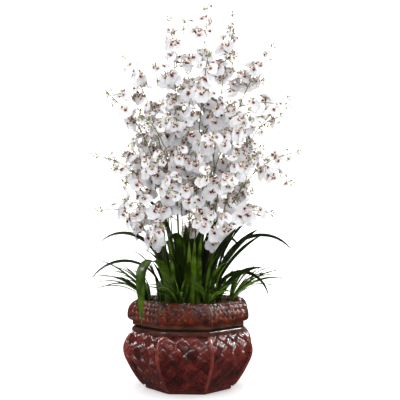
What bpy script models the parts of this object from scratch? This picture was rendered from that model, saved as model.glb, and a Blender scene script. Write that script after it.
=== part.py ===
"""A dancing-lady orchid in an octagonal wicker basket.

Units are metres, +Z is up, and the origin is the centre of the basket's underside. -Y is the front. The basket
holds a plastic liner, bark and moss. Pseudobulbs, strap leaves, grass tufts and flower spikes stand on the moss.
"""

import math
import random

import bmesh
import bpy
from mathutils import Vector

MM = 0.001
GAP = 0.3 * MM
UP = Vector((0, 0, 1))

# ---------------------------------------------------------------- driving dimensions

SIDES = 8
BASKET_TURN = math.radians(-3)  # how far the front panel is turned from facing -Y
WALL = 7 * MM
FLOOR = 8 * MM
FOOT_R, FOOT_TOP = 92 * MM, 10 * MM
# The basket's belly, from its foot to its neck, as (corner radius, height).
BELLY = [
    (98 * MM, 10.5 * MM),
    (106 * MM, 18 * MM),
    (119 * MM, 36 * MM),
    (131.5 * MM, 58 * MM),
    (138.5 * MM, 73 * MM),
    (140.5 * MM, 86 * MM),
    (137.5 * MM, 98 * MM),
    (130 * MM, 110 * MM),
    (120 * MM, 117.5 * MM),
]
NECK_R, NECK_TOP = 120 * MM, 144 * MM
# The rim's section, from the foot of its inner face round over the roll.
RIM_SECTION = [
    (111 * MM, NECK_TOP + GAP),
    (131 * MM, NECK_TOP + GAP),
    (133.8 * MM, 150 * MM),
    (133.8 * MM, 161 * MM),
    (130 * MM, 172 * MM),
    (122 * MM, 179.5 * MM),
    (113.5 * MM, 182 * MM),
    (108 * MM, 178.5 * MM),
    (107 * MM, 170 * MM),
    (108.5 * MM, 158 * MM),
]
# Each hoop round the basket: the radius it is bent to, its lowest and highest height, and its thickness.
HOOPS = {
    "rim_hoop_upper": (NECK_R, 133 * MM, NECK_TOP - GAP, 6.5 * MM),
    "rim_hoop_lower": (NECK_R, 119 * MM, 129.5 * MM, 7.5 * MM),
    "foot_hoop": (FOOT_R, 0, FOOT_TOP, 5.5 * MM),
}
HOOP_BEVEL = 1.6 * MM
# A corner rib's section: half widths of its inner and outer faces, how far its inner edges reach past the corner
# on either side, where its groove sits, and where its outer face is.
RIB_INNER_HALF, RIB_OUTER_HALF = 3.6 * MM, 2.6 * MM
RIB_EDGE, RIB_GROOVE, RIB_FACE = -0.9 * MM, 0.6 * MM, 3.4 * MM
LINER_WALL = 1.8 * MM
LINER_TOP = NECK_TOP - 0.5 * MM
BARK_TOP = 160 * MM
MOSS_R, MOSS_TOP = 104.5 * MM, 175 * MM
SOIL = MOSS_TOP + GAP

# Each pseudobulb: azimuth in degrees from +X, and distance of its axis from the basket's centre.
BULBS = [(100, 0.068), (161, 0.068)]
BULB_WIDTH, BULB_DEPTH, BULB_HEIGHT = 21 * MM, 15 * MM, 46 * MM
BULB_TAPER = 0.28  # how much narrower than its middle a bulb's top is

# Each strap leaf: azimuth and distance of its base, the azimuth it leans to, length, lean from upright at its
# base and at its tip (held at straight down), how late it bends, width, and twist by its tip.
LEAVES = [
    (232, 0.056, 190, 0.262, 0, 75, 3.0, 0.018, 50),
    (187, 0.058, 182, 0.255, -4, 140, 1.7, 0.015, 45),
    (204, 0.066, 192, 0.222, -12, 148, 0.95, 0.012, 40),
    (236, 0.081, 238, 0.262, -3, 400, 1.9, 0.025, 0),
    (252, 0.050, 250, 0.200, 0, 150, 3.6, 0.026, 0),
    (291, 0.044, 290, 0.170, 0, 30, 1.6, 0.028, 0),
    (286, 0.066, 345, 0.185, 14, 40, 1.0, 0.022, 55),
    (317, 0.077, 322, 0.150, 26, 88, 1.2, 0.014, 30),
    (314, 0.056, 350, 0.200, 16, 60, 1.4, 0.020, 50),
    (334, 0.066, 334, 0.185, -10, 170, 1.0, 0.016, 45),
    (346, 0.050, 350, 0.195, 12, 62, 1.0, 0.014, 40),
    (0, 0.060, 2, 0.280, -2, 150, 1.5, 0.014, 45),
    (11, 0.050, 10, 0.235, 8, 62, 1.6, 0.015, 40),
    (37, 0.050, 18, 0.280, 4, 116, 2.2, 0.016, 30),
    (62, 0.058, 60, 0.275, 8, 130, 1.4, 0.022, 0),
    (86, 0.050, 88, 0.215, 6, 60, 1.6, 0.025, 0),
    (115, 0.058, 108, 0.265, 6, 135, 1.4, 0.022, 0),
    (138, 0.058, 135, 0.185, 6, 50, 1.3, 0.020, 20),
    (263, 0.035, 262, 0.172, 0, 22, 2.0, 0.022, 0),
    (320, 0.034, 330, 0.190, 2, 34, 2.0, 0.022, 20),
]
LEAF_THICK = 1.5 * MM
LEAF_THINNING = 0.4  # share of its thickness that a leaf loses by its tip
LEAF_CHANNEL = 0.3  # depth of the channel, as a share of the leaf's half width
LEAF_STEPS = 9

# Each grass tuft: azimuth and distance of its crown, how wide it spreads, and the size of its blades. Each
# blade: turn from the tuft's azimuth in a tuft of full spread, length, lean at base and tip.
TUFTS = [(192, 0.084, 0.9, 1), (356, 0.086, 0.9, 1), (258, 0.086, 0.8, 0.72), (294, 0.086, 0.75, 0.7)]
BLADES = [
    (-66, 0.10, 16, 70),
    (-44, 0.14, 26, 95),
    (-22, 0.16, 34, 108),
    (0, 0.11, 12, 62),
    (20, 0.155, 36, 112),
    (40, 0.135, 24, 90),
    (58, 0.09, 14, 60),
]
CROWN_R, CROWN_HEIGHT = 8 * MM, 5 * MM
BLADE_WIDTH, BLADE_THICK = 5.5 * MM, 1.2 * MM
BLADE_BEND = 1.1  # how late a blade bends
BLADE_STEPS = 5

# Each flower spike: azimuth, base distance, tip distance, tip height, rise of the tip above level in degrees.
SPIKES = [
    (330, 0.008, 0.047, 0.835, 84),
    (22, 0.012, 0.104, 0.815, 80),
    (225, 0.014, 0.058, 0.776, 80),
    (172, 0.026, 0.145, 0.712, 56),
    (350, 0.030, 0.178, 0.722, 54),
    (92, 0.028, 0.130, 0.710, 60),
    (290, 0.022, 0.112, 0.680, 62),
    (203, 0.040, 0.178, 0.612, 36),
    (10, 0.042, 0.222, 0.628, 40),
    (130, 0.044, 0.186, 0.605, 38),
    (53, 0.044, 0.190, 0.590, 34),
    (243, 0.034, 0.160, 0.540, 28),
    (309, 0.018, 0.180, 0.560, 32),
    (187, 0.042, 0.190, 0.490, 10),
    (356, 0.042, 0.228, 0.500, 10),
    (196, 0.053, 0.180, 0.375, -8),
    (104, 0.042, 0.180, 0.455, 2),
    (336, 0.046, 0.178, 0.368, -22),
]
STEM_BASE_R, STEM_TIP_R = 2.0 * MM, 1.0 * MM
STEM_LEAN = 0.16  # how far a main stem leans out as it leaves the moss
LOW_HANDLE, TIP_HANDLE = 0.45, 0.35  # lengths of a stem's Bezier handles, as shares of its span
BARE_STEM = [0, 0.14, 0.28]  # shares of the main stem at the bends of its bare foot
STEM_SAMPLES = 60
FIRST_BRANCH = 0.38  # share of the stem below its first branch
BRANCH_PITCH = 40 * MM
TOP_NODES = 3
BRANCH_LOW, BRANCH_HIGH = 0.125, 0.070
SPIRAL_TURN = 137.5  # degrees round the stem from one branch to the next
# A branch that doesn't fit is tried at other turns, in degrees, and after each full round it is made shorter.
TRY_TURN, TRIES_A_ROUND, ROUNDS, SHORTENING = 40, 9, 3, 0.3
# How far a branch runs along its stem, and how far up, at its root, and how much less of each by its tip.
RUN_ALONG, ALONG_LOSS = 0.75, 0.5
RUN_UP, UP_LOSS = 0.10, 0.25
# The crown that the flowers fill, as (height, radius) round an axis a little to the right of the basket's.
CROWN_AXIS = 20 * MM
CROWN = [
    (0.285, 0.100),
    (0.330, 0.165),
    (0.380, 0.190),
    (0.450, 0.208),
    (0.500, 0.224),
    (0.560, 0.232),
    (0.620, 0.226),
    (0.680, 0.202),
    (0.740, 0.170),
    (0.790, 0.130),
    (0.848, 0.082),
]
BRANCH_R = 1.0 * MM
NODE_HALF = 1.6 * MM  # half the length of stem that a side shoot grows from
FLOWER_SPACING = 27 * MM
FORWARD = 0.1  # how far a flower leans along its stem
STALK = 12 * MM  # from a branch's axis to the middle of its flower
FLOWER_HALF = 7 * MM
FLOWER_ROOM = 23 * MM  # least distance between the middles of two flowers
BRANCH_SHARE = 0.7  # share of that room that a branch keeps from flowers
STEM_ROOM = 11.5 * MM  # least distance from the middle of a flower to another spike's stem
SEED = 11


# ---------------------------------------------------------------- materials


def material(name, colour, roughness, metallic=0.0):
    made = bpy.data.materials.new(name)
    made.use_nodes = True
    shader = made.node_tree.nodes["Principled BSDF"]
    shader.inputs["Base Color"].default_value = (*colour, 1)
    shader.inputs["Roughness"].default_value = roughness
    shader.inputs["Metallic"].default_value = metallic
    return made


def materials():
    return {
        "wicker": material("burgundy_wicker", (0.17, 0.035, 0.025), 0.42),
        "cane": material("dark_cane", (0.09, 0.025, 0.02), 0.35),
        "plastic": material("black_liner_plastic", (0.02, 0.02, 0.02), 0.5),
        "bark": material("orchid_bark", (0.12, 0.07, 0.04), 0.95),
        "moss": material("sheet_moss", (0.13, 0.14, 0.05), 0.95),
        "bulb": material("pseudobulb_skin", (0.13, 0.21, 0.05), 0.45),
        "leaf": material("strap_leaf_green", (0.05, 0.12, 0.025), 0.4),
        "grass": material("grass_green", (0.06, 0.13, 0.03), 0.45),
        "flower": material("white_petal_and_green_stem", (0.8, 0.78, 0.76), 0.6),
    }


# ---------------------------------------------------------------- solids


def finish(bm, name, surface):
    """Turns a bmesh into a named object with one material. Each face starts at its first vertex and the faces are
    in order, so the mesh is the same each time."""
    bmesh.ops.recalc_face_normals(bm, faces=bm.faces)
    bm.verts.index_update()
    faces = []
    for face in bm.faces:
        corners = [vert.index for vert in face.verts]
        start = corners.index(min(corners))
        faces.append(corners[start:] + corners[:start])
    mesh = bpy.data.meshes.new(name)
    mesh.from_pydata([vert.co for vert in bm.verts], [], sorted(faces))
    bm.free()
    mesh.materials.append(surface)
    thing = bpy.data.objects.new(name, mesh)
    bpy.context.scene.collection.objects.link(thing)
    return thing


def octagonal(name, section, surface, ring=False):
    """Spins a section of (corner radius, height) round Z in eight flat steps. A ring's section is a closed loop."""
    bm = bmesh.new()
    start = BASKET_TURN - math.pi / 2 + math.pi / SIDES
    out = Vector((math.cos(start), math.sin(start), 0))
    verts = [bm.verts.new(out * radius + UP * height) for radius, height in section]
    pairs = list(zip(verts, verts[1:]))
    if ring:
        pairs.append((verts[-1], verts[0]))
    edges = [bm.edges.new(pair) for pair in pairs]
    bmesh.ops.spin(bm, geom=verts + edges, cent=(0, 0, 0), axis=UP, angle=math.tau, steps=SIDES, use_merge=True)
    bmesh.ops.remove_doubles(bm, verts=bm.verts, dist=0.01 * MM)
    bmesh.ops.dissolve_degenerate(bm, edges=bm.edges, dist=0.01 * MM)
    return finish(bm, name, surface)


def section_frames(points, side):
    """(tangent, side, up) at each point of a path, turned no more than the path turns."""
    frames = []
    for tangent in directions_along(points):
        side = (side - tangent * side.dot(tangent)).normalized()
        frames.append((tangent, side, tangent.cross(side)))
    return frames


def start_face(bm, centre, side, up, half_side, half_up):
    corners = [(-1, -1), (1, -1), (1, 1), (-1, 1)]
    return bm.faces.new(
        [bm.verts.new(centre + side * (half_side * a) + up * (half_up * b)) for a, b in corners]
    )


def extend(bm, face, centre, side, up, half_side, half_up, keep=False):
    """Extrudes a four-cornered face to a new place and size, each corner staying on its own side of the middle."""
    made = bmesh.ops.extrude_face_region(bm, geom=[face], use_keep_orig=keep)["geom"]
    new = next(g for g in made if isinstance(g, bmesh.types.BMFace))
    middle = new.calc_center_median()
    for vert in new.verts:
        offset = vert.co - middle
        a = math.copysign(half_side, offset.dot(side))
        b = math.copysign(half_up, offset.dot(up))
        vert.co = centre + side * a + up * b
    if not keep and face.is_valid:
        bm.faces.remove(face)
    return new


def side_faces(face):
    """The walls of the last length of tube that ends in this face."""
    return [other for edge in face.edges for other in edge.link_faces if other is not face]


def tube(bm, points, halves, side, face=None):
    """Sweeps a four-cornered tube along points. It starts as a solid of its own, or from a wall of another tube.
    Returns the walls of each length and the end face."""
    frames = section_frames(points, side)
    keep = face is None
    if keep:
        face = start_face(bm, points[0], frames[0][1], frames[0][2], *halves[0])
    walls = []
    for centre, (_, across, up), (half_side, half_up) in list(zip(points, frames, halves))[1:]:
        face = extend(bm, face, centre, across, up, half_side, half_up, keep)
        keep = False
        walls.append(side_faces(face))
    return walls, face


# ---------------------------------------------------------------- paths that the plant grows along


def heading(degrees):
    return Vector((math.cos(math.radians(degrees)), math.sin(math.radians(degrees)), 0))


def leaning_path(base, azimuth, length, lean_start, lean_end, bend, steps):
    """Points of a blade that leans more and more from upright, and no further than straight down."""
    points = [base]
    out = heading(azimuth)
    for i in range(steps):
        lean = lean_start + (lean_end - lean_start) * ((i + 0.5) / steps) ** bend
        lean = math.radians(min(180, lean))
        points.append(points[-1] + (UP * math.cos(lean) + out * math.sin(lean)) * (length / steps))
    return points


def bezier(controls, share):
    a, b, c, d = controls
    rest = 1 - share
    return a * rest**3 + b * (3 * rest**2 * share) + c * (3 * rest * share**2) + d * share**3


def spike_controls(azimuth, base_r, tip_r, tip_height, tip_rise):
    """Bezier controls of a spike's main stem, upright at its base."""
    out = heading(azimuth)
    base = out * base_r + UP * SOIL
    tip = out * tip_r + UP * tip_height
    rise = math.radians(tip_rise)
    span = (tip - base).length
    start = (UP + out * STEM_LEAN).normalized()
    end = out * math.cos(rise) + UP * math.sin(rise)
    return [base, base + start * (span * LOW_HANDLE), tip - end * (span * TIP_HANDLE), tip]


def nearest(point, samples):
    return min(((point - other).length_squared for other in samples), default=1.0) ** 0.5


def side_shoots(controls, index, room):
    """Where a spike's branches and flowers grow. A branch is (share of the main stem, points, flowers), and a
    flower is (number of its node, its middle, its direction). The second value is the flowers of the stem's top.
    Places that are taken are passed over."""
    rng = random.Random(SEED + index)
    branches = []
    turn = rng.uniform(0, 360)
    top_shares = stem_nodes(controls)
    last = top_shares[0] - (top_shares[1] - top_shares[0])
    count = max(3, round((last - FIRST_BRANCH) * (controls[3] - controls[0]).length / BRANCH_PITCH))
    for number in range(count):
        height = number / (count - 1)
        share = FIRST_BRANCH + (last - FIRST_BRANCH) * height
        root, along = bezier(controls, share), direction_at(controls, share)
        length = (BRANCH_LOW + (BRANCH_HIGH - BRANCH_LOW) * height) * rng.uniform(0.9, 1.1)
        turn += SPIRAL_TURN
        for attempt in range(TRIES_A_ROUND * ROUNDS):
            out = turned(along, math.radians(turn + attempt * TRY_TURN))
            points = branch_points(root, along, out, length * (1 - SHORTENING * (attempt // TRIES_A_ROUND)))
            if branch_fits(points, room):
                nodes = list(zip(range(len(points)), points, directions_along(points)))[1:]
                branches.append((share, points, flower_pairs(nodes, rng, room)))
                room["stems"] += with_middles(points)[2:]
                break
    tops = [(i, bezier(controls, share), direction_at(controls, share)) for i, share in enumerate(top_shares)]
    return branches, flower_pairs(tops, rng, room)


def stem_nodes(controls):
    """Shares of the main stem at the flower nodes of its top."""
    step = FLOWER_SPACING / (controls[3] - controls[0]).length
    return [1 - step * (TOP_NODES - i - 0.5) for i in range(TOP_NODES)]


def direction_at(controls, share):
    return (bezier(controls, share + 0.01) - bezier(controls, share - 0.01)).normalized()


def directions_along(points):
    """The direction of a path at each of its points, between the lengths that meet there."""
    return [(after - before).normalized() for before, after in zip([points[0], *points], [*points[1:], points[-1]])]


def turned(along, angle):
    """A direction square to another, turned about it by an angle."""
    aside = along.orthogonal().normalized()
    return aside * math.cos(angle) + along.cross(aside) * math.sin(angle)


def with_middles(points):
    """The points with one more halfway between each two."""
    both = [points[0]]
    for before, after in zip(points, points[1:]):
        both += [(before + after) / 2, after]
    return both


def branch_points(root, along, out, length):
    """A side branch that leaves its stem at a slant, arches out and lifts again."""
    count = max(2, round(length / FLOWER_SPACING))
    points = [root]
    for i in range(count):
        share = (i + 0.5) / count
        slant = along * (RUN_ALONG - ALONG_LOSS * share)
        step = (slant + out + UP * (RUN_UP - UP_LOSS * share)).normalized()
        points.append(points[-1] + step * (length / count))
    return points


def branch_fits(points, room):
    """Whether a branch stays in the crown and clear of every other stem and flower."""
    return all(
        in_crown(p, STALK)
        and nearest(p, room["stems"]) > STEM_ROOM
        and nearest(p, room["flowers"]) > FLOWER_ROOM * BRANCH_SHARE
        for p in with_middles(points)[2:]
    )


def in_crown(point, margin):
    """Whether a point is inside the crown by a margin."""
    for (low, low_radius), (high, high_radius) in zip(CROWN, CROWN[1:]):
        if low <= point.z <= high:
            radius = low_radius + (high_radius - low_radius) * (point.z - low) / (high - low)
            return math.hypot(point.x - CROWN_AXIS, point.y) < radius - margin
    return False


def flower_pairs(nodes, rng, room):
    """Two flowers face to face across each node of a stem, each pair turned a quarter from the last."""
    flowers = []
    spin = rng.uniform(0, math.pi)
    for node, point, along in nodes:
        spin += math.pi / 2
        for half_turn in (0, math.pi):
            out = (turned(along, spin + half_turn) + along * FORWARD).normalized()
            middle = point + out * STALK
            free = nearest(middle, room["flowers"]) > FLOWER_ROOM
            if free and nearest(middle, room["stems"]) > STEM_ROOM and in_crown(middle, 0):
                flowers.append((node, middle, out))
                room["flowers"].append(middle)
    return flowers


# ---------------------------------------------------------------- the basket and what fills it


def basket_line():
    """The basket's outer line from its underside to its neck."""
    return [(FOOT_R, 0), (FOOT_R, FOOT_TOP), *BELLY, (NECK_R, NECK_TOP)]


def inner_line(inset, floor, top):
    """The basket's line moved inwards by inset, from its floor to a height at the neck."""
    line = [(radius - inset, height) for radius, height in BELLY[1:]]
    return [(0, floor), (FOOT_R - inset, floor), *line, (NECK_R - inset, top)]


def basket(surfaces):
    inside = inner_line(WALL, FLOOR, NECK_TOP)
    octagonal("basket_wall", [(0, 0), *basket_line(), *reversed(inside)], surfaces["wicker"])
    octagonal("basket_rim", RIM_SECTION, surfaces["wicker"], ring=True)
    for name, (radius, low, high, thick) in HOOPS.items():
        inner, outer = radius + GAP, radius + GAP + thick
        section = [
            (inner, low),
            (outer - HOOP_BEVEL, low),
            (outer, low + HOOP_BEVEL),
            (outer, high - HOOP_BEVEL),
            (outer - HOOP_BEVEL, high),
            (inner, high),
        ]
        octagonal(name, section, surfaces["cane"], ring=True)
    for number in range(SIDES):
        corner_rib(number, surfaces["cane"])


def corner_rib(number, surface):
    """A cane bent down one corner of the belly, with a shallow groove that sits over the corner."""
    angle = BASKET_TURN - math.pi / 2 + math.pi / SIDES + number * math.tau / SIDES
    out = Vector((math.cos(angle), math.sin(angle), 0))
    across = out.cross(UP)
    section = [
        (-RIB_INNER_HALF, RIB_EDGE),
        (0, RIB_GROOVE),
        (RIB_INNER_HALF, RIB_EDGE),
        (RIB_OUTER_HALF, RIB_FACE),
        (-RIB_OUTER_HALF, RIB_FACE),
    ]
    bm = bmesh.new()
    rings = []
    for radius, height in BELLY:
        base = out * radius + UP * (height + GAP)
        rings.append([bm.verts.new(base + across * a + out * b) for a, b in section])
    for low, high in zip(rings, rings[1:]):
        for i in range(len(section)):
            j = (i + 1) % len(section)
            bm.faces.new((low[i], low[j], high[j], high[i]))
    bm.faces.new(rings[0])
    bm.faces.new(rings[-1])
    finish(bm, f"corner_rib_{number + 1}", surface)


def filling(surfaces):
    """The plastic liner, the bark in it and the moss on top."""
    outer = inner_line(WALL + GAP, FLOOR + GAP, LINER_TOP)
    inner = inner_line(WALL + GAP + LINER_WALL, FLOOR + GAP + LINER_WALL, LINER_TOP)
    octagonal("plastic_liner", [*outer, *reversed(inner)], surfaces["plastic"])
    inset = WALL + 2 * GAP + LINER_WALL
    bark = inner_line(inset, FLOOR + 2 * GAP + LINER_WALL, LINER_TOP)
    neck = MOSS_R + 1 * MM
    octagonal("potting_bark", [*bark, (neck, LINER_TOP), (neck, BARK_TOP), (0, BARK_TOP)], surfaces["bark"])
    edge = 4 * MM
    moss = [
        (0, BARK_TOP + GAP),
        (MOSS_R, BARK_TOP + GAP),
        (MOSS_R, MOSS_TOP - edge),
        (MOSS_R - edge, MOSS_TOP),
        (0, MOSS_TOP),
    ]
    octagonal("moss_cover", moss, surfaces["moss"])


# ---------------------------------------------------------------- the plant


def pseudobulb(number, azimuth, distance, surface):
    """A flattened egg standing on its blunt end."""
    bm = bmesh.new()
    bmesh.ops.create_uvsphere(bm, u_segments=10, v_segments=7, radius=1)
    centre = heading(azimuth) * distance + UP * (SOIL + BULB_HEIGHT / 2)
    out = heading(azimuth)
    across = out.cross(UP)
    for vert in bm.verts:
        x, y, z = vert.co
        taper = 1 - BULB_TAPER * z
        vert.co = (
            centre
            + across * (x * taper * BULB_WIDTH / 2)
            + out * (y * taper * BULB_DEPTH / 2)
            + UP * (z * BULB_HEIGHT / 2)
        )
    finish(bm, f"pseudobulb_{number}", surface)


def leaf_width(share):
    """A strap leaf's width along it: narrow in its sheath, full by its middle, drawn out to a point."""
    swell = 0.52 + 0.48 * math.sin(min(1, share / 0.42) * math.pi / 2)
    return swell * max(0.07, 1 - max(0, (share - 0.5) / 0.5) ** 2.2)


def strap_leaf(number, spec, surface):
    """A leaf with a shallow channel down its upper face and a keel below."""
    azimuth, distance, leans_to, length, lean_start, lean_end, bend, width, twist = spec
    base = heading(azimuth) * distance + UP * SOIL
    points = leaning_path(base, leans_to, length, lean_start, lean_end, bend, LEAF_STEPS)
    side = heading(leans_to).cross(UP)
    bm = bmesh.new()
    rings = []
    for i, (point, (tangent, side, _)) in enumerate(zip(points, section_frames(points, side))):
        angle = math.radians(twist * i / LEAF_STEPS)
        side = side * math.cos(angle) + side.cross(tangent) * math.sin(angle)
        face_up = side.cross(tangent)
        half = width * leaf_width(i / LEAF_STEPS) / 2
        fold = half * LEAF_CHANNEL
        thick = LEAF_THICK * (1 - LEAF_THINNING * i / LEAF_STEPS)
        ring = [
            point - side * half + face_up * fold,
            point,
            point + side * half + face_up * fold,
            point - face_up * thick,
        ]
        rings.append([bm.verts.new(corner) for corner in ring])
    for vert in rings[0]:
        vert.co.z = SOIL
    samples = []
    for corner in range(3):
        samples += with_middles([ring[corner].co.copy() for ring in rings])
    for low_ring, high_ring in zip(rings, rings[1:]):
        for i in range(4):
            j = (i + 1) % 4
            bm.faces.new((low_ring[i], low_ring[j], high_ring[j], high_ring[i]))
    for ring in (rings[0], rings[-1]):
        bm.faces.new((ring[0], ring[1], ring[3]))
        bm.faces.new((ring[1], ring[2], ring[3]))
    finish(bm, f"strap_leaf_{number:02d}", surface)
    return samples


def blade_width(share):
    """A grass blade's width along it, narrow at the crown and drawn out to a point."""
    return (0.5 + 0.5 * min(1, share / 0.4)) * (1 - 0.85 * share**2)


def grass_tuft(number, azimuth, distance, spread, size, surface):
    """Narrow blades that spread from one low crown."""
    bm = bmesh.new()
    centre = heading(azimuth) * distance + UP * SOIL
    bmesh.ops.create_cone(
        bm, cap_ends=True, segments=len(BLADES) * 2, radius1=CROWN_R, radius2=CROWN_R, depth=CROWN_HEIGHT
    )
    bmesh.ops.translate(bm, verts=bm.verts, vec=centre + UP * (CROWN_HEIGHT / 2))
    samples = []
    walls = [f for f in bm.faces if len(f.verts) == 4]
    for order, (turn, length, lean_start, lean_end) in enumerate(BLADES):
        out = heading(azimuth + (order - len(BLADES) // 2) * 180 / len(BLADES))
        leans_to = azimuth + turn * spread
        face = max(walls, key=lambda f: (f.calc_center_median() - centre).dot(out))
        walls.remove(face)
        root = face.calc_center_median()
        points = leaning_path(root, leans_to, length * size, lean_start, lean_end, BLADE_BEND, BLADE_STEPS)
        halves = [
            (BLADE_WIDTH / 2 * blade_width(i / BLADE_STEPS), BLADE_THICK / 2 * (1 - 0.5 * i / BLADE_STEPS))
            for i in range(BLADE_STEPS + 1)
        ]
        tube(bm, points, halves, heading(leans_to).cross(UP), face)
        samples += with_middles(points)[2:]
    finish(bm, f"grass_tuft_{number}", surface)
    return samples


def flower_spike(number, controls, branches, tops, surface):
    """A main stem, its side branches, and a cup for each flower."""
    bm = bmesh.new()
    node = NODE_HALF / (controls[3] - controls[0]).length
    shares = list(BARE_STEM)
    top_shares = stem_nodes(controls)
    for share in [branch[0] for branch in branches] + top_shares:
        shares += [share - node, share + node]
    shares.append(1)
    points = [bezier(controls, share) for share in shares]
    radii = [STEM_BASE_R + (STEM_TIP_R - STEM_BASE_R) * share for share in shares]
    square_to = Vector((1, 0.3, 0))  # no stem runs along this, so every stem has a side square to it
    aside = (controls[3] - controls[0]).cross(square_to).normalized()
    walls, _ = tube(bm, points, [(r, r) for r in radii], aside)
    for vert in bm.verts:
        vert.co.z = max(vert.co.z, SOIL)
    bm.normal_update()
    node_walls = walls[len(BARE_STEM) :: 2]
    for order, (_, line, flowers) in enumerate(branches):
        side_branch(bm, facing(node_walls[order], line[1] - line[0]), line, flowers)
    for order, middle, out in tops:
        cup(bm, node_walls[len(branches) + order], middle, out, direction_at(controls, top_shares[order]))
    finish(bm, f"flower_spike_{number:02d}", surface)


def facing(faces, direction):
    return max((f for f in faces if f.is_valid), key=lambda f: f.normal.dot(direction.normalized()))


def side_branch(bm, face, line, flowers):
    """A thin stem from a wall of the main stem, with a short length at each node for its flowers."""
    points = [line[0]]
    directions = directions_along(line)
    for place, along in list(zip(line, directions))[1:]:
        points += [place - along * NODE_HALF, place + along * NODE_HALF]
    edge = face.edges[0]
    walls, _ = tube(bm, points, [(BRANCH_R, BRANCH_R)] * len(points), edge.verts[1].co - edge.verts[0].co, face)
    bm.normal_update()
    for node, middle, out in flowers:
        cup(bm, walls[2 * node - 1], middle, out, directions[node])


def cup(bm, walls, middle, out, along):
    """A flower: a stalk from a wall of its node, widening to the flower's face."""
    side = (along - out * along.dot(out)).normalized()
    extend(bm, facing(walls, out), middle, side, out.cross(side), FLOWER_HALF, FLOWER_HALF)


def plant(surfaces):
    for number, (azimuth, distance) in enumerate(BULBS, 1):
        pseudobulb(number, azimuth, distance, surfaces["bulb"])
    taken = []
    for number, spec in enumerate(LEAVES, 1):
        taken += strap_leaf(number, spec, surfaces["leaf"])
    for number, spec in enumerate(TUFTS, 1):
        taken += grass_tuft(number, *spec, surfaces["grass"])
    stems = [spike_controls(*spec) for spec in SPIKES]
    for controls in stems:
        taken += [bezier(controls, i / STEM_SAMPLES) for i in range(STEM_SAMPLES + 1)]
    room = {"flowers": [], "stems": taken}
    for index, controls in enumerate(stems):
        branches, tops = side_shoots(controls, index, room)
        flower_spike(index + 1, controls, branches, tops, surfaces["flower"])


def main():
    for thing in list(bpy.data.objects):
        bpy.data.objects.remove(thing)
    surfaces = materials()
    basket(surfaces)
    filling(surfaces)
    plant(surfaces)


main()
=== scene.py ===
"""The looks of a dancing-lady orchid in an octagonal wicker basket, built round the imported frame.

Everything is in metres, +Z is up and -Y is the front, as in the frame.
"""

import math
import random

import bmesh
import bpy
import numpy as np
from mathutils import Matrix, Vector, noise


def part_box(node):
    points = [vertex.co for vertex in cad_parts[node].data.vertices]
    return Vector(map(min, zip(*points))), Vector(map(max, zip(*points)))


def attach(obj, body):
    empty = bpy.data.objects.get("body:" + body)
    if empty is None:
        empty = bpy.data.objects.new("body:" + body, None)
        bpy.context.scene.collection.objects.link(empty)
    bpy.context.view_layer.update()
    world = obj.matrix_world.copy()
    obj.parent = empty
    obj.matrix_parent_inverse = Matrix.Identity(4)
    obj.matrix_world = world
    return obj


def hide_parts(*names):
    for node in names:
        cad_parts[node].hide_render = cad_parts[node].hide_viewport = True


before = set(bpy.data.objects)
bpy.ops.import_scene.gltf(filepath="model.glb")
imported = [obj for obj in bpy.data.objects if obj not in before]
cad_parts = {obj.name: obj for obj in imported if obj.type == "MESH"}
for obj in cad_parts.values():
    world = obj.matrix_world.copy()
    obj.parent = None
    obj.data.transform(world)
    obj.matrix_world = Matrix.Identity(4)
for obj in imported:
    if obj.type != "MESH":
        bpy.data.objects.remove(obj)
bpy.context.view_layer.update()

MM = 0.001
UP = np.array((0.0, 0.0, 1.0))
SIDES = 8
HALF_PANEL = math.pi / SIDES
SHARP_EDGE = math.radians(50)  # shading stays smooth over any lesser angle

# ---------------------------------------------------------------- making meshes


class Work:
    """The corners and faces of one piece while it is being made. Every face has four corners.

    Each corner keeps its lay: how far along and across its strand it is, in metres, and the strand's own tone
    from 0 to 1.
    """

    def __init__(self):
        self.points, self.lays, self.faces, self.kinds = [], [], [], []
        self.count = 0

    def add(self, points, faces, lays, kind=0):
        points = np.asarray(points, float).reshape(-1, 3)
        self.points.append(points)
        self.lays.append(np.asarray(lays, float).reshape(-1, 3))
        self.faces.append(np.asarray(faces, int) + self.count)
        self.kinds.append(np.full(len(faces), kind))
        self.count += len(points)

    def add_solid(self, rings, tone, kind=0, loop=False, along=None):
        """A closed solid lofted through rings of an even number of corners."""
        rings = np.asarray(rings, float)
        faces = loft_faces(rings.shape[0], rings.shape[1], loop)
        if volume(rings.reshape(-1, 3), faces) < 0:
            faces = faces[:, ::-1]
        self.add(rings, faces, loft_lays(rings, tone, along), kind)

    def make(self, name, finishes, slot, *nodes):
        """The finished piece, which stands for the nodes given."""
        mesh = bpy.data.meshes.new(name)
        faces = np.concatenate(self.faces)
        mesh.from_pydata(np.concatenate(self.points), [], faces.tolist())
        for material in finishes:
            mesh.materials.append(material)
        mesh.polygons.foreach_set("material_index", np.concatenate(self.kinds).astype(np.int32))
        mesh.polygons.foreach_set("use_smooth", np.ones(len(faces), bool))
        mesh.set_sharp_from_angle(angle=SHARP_EDGE)
        lay = mesh.attributes.new("lay", "FLOAT_VECTOR", "POINT")
        lay.data.foreach_set("vector", np.concatenate(self.lays).astype(np.float32).ravel())
        mesh.update()
        piece = bpy.data.objects.new(name, mesh)
        bpy.context.scene.collection.objects.link(piece)
        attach(piece, "root")
        if nodes:
            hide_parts(*nodes)


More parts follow.
